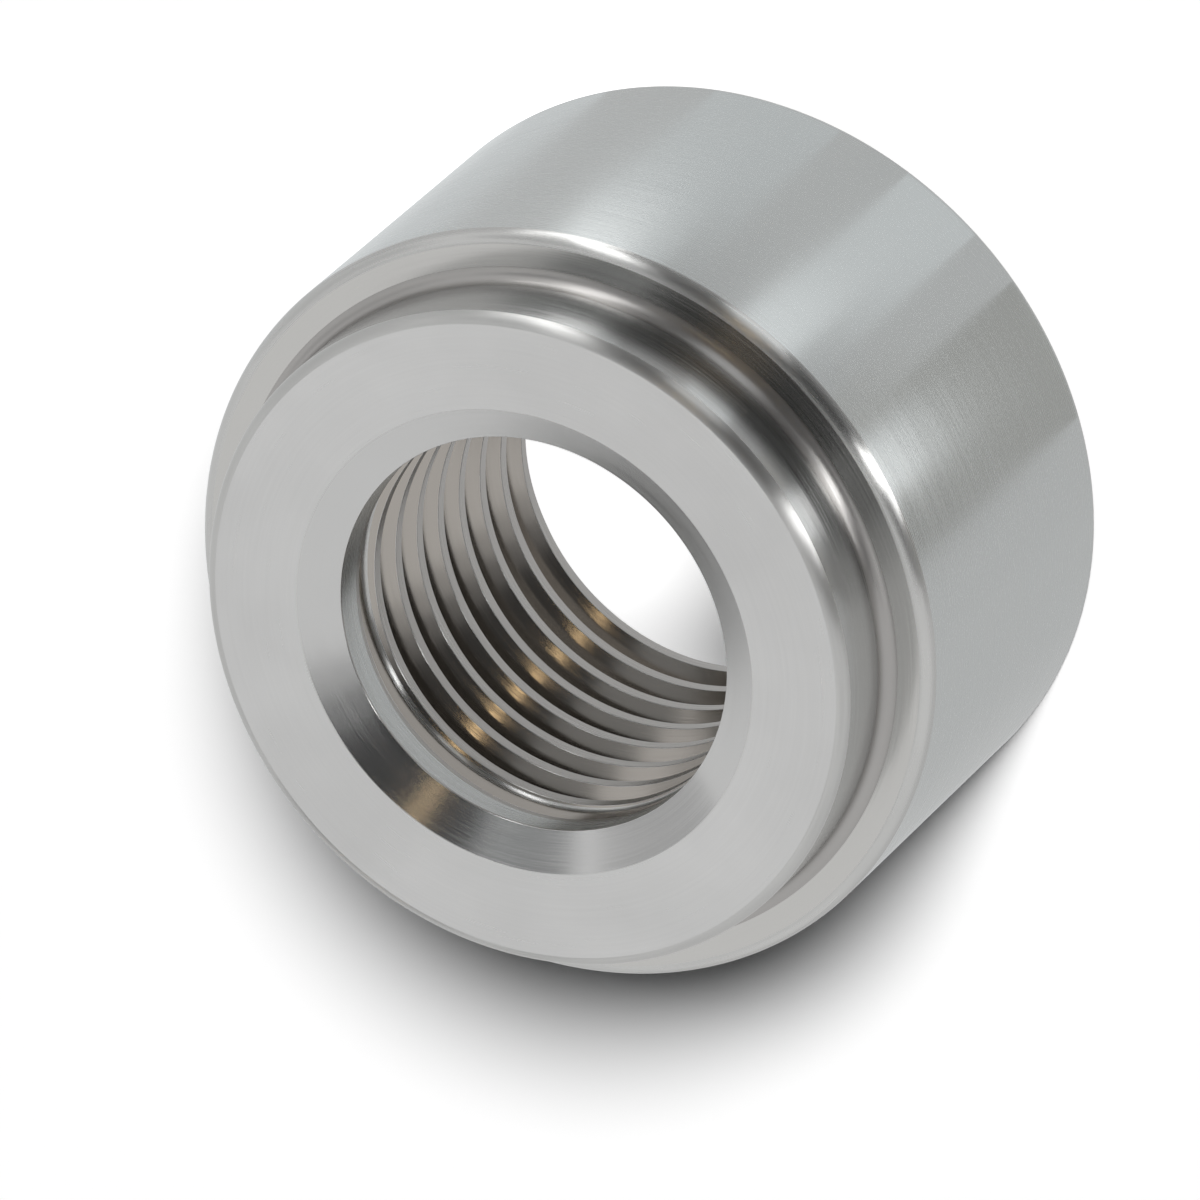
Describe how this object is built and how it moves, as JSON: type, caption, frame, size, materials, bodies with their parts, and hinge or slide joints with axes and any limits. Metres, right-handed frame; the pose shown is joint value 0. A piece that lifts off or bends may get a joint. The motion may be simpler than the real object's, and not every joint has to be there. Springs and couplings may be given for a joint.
{
  "type": "weld-on bung",
  "caption": "Turned steel weld-on bung with a stepped locating nose and a pipe thread through it, welded to a tank or tube to take a screwed fitting.",
  "frame": {"origin": "centre of the back face, which the bung stands on", "axes": "+Z along the bore, from the back face up to the stepped nose"},
  "size_m": [0.0222, 0.0222, 0.0135],
  "materials": {
    "steel": "satin turned"
  },
  "bodies": {
    "root": {"bung": "steel"}
  },
  "joints": []
}
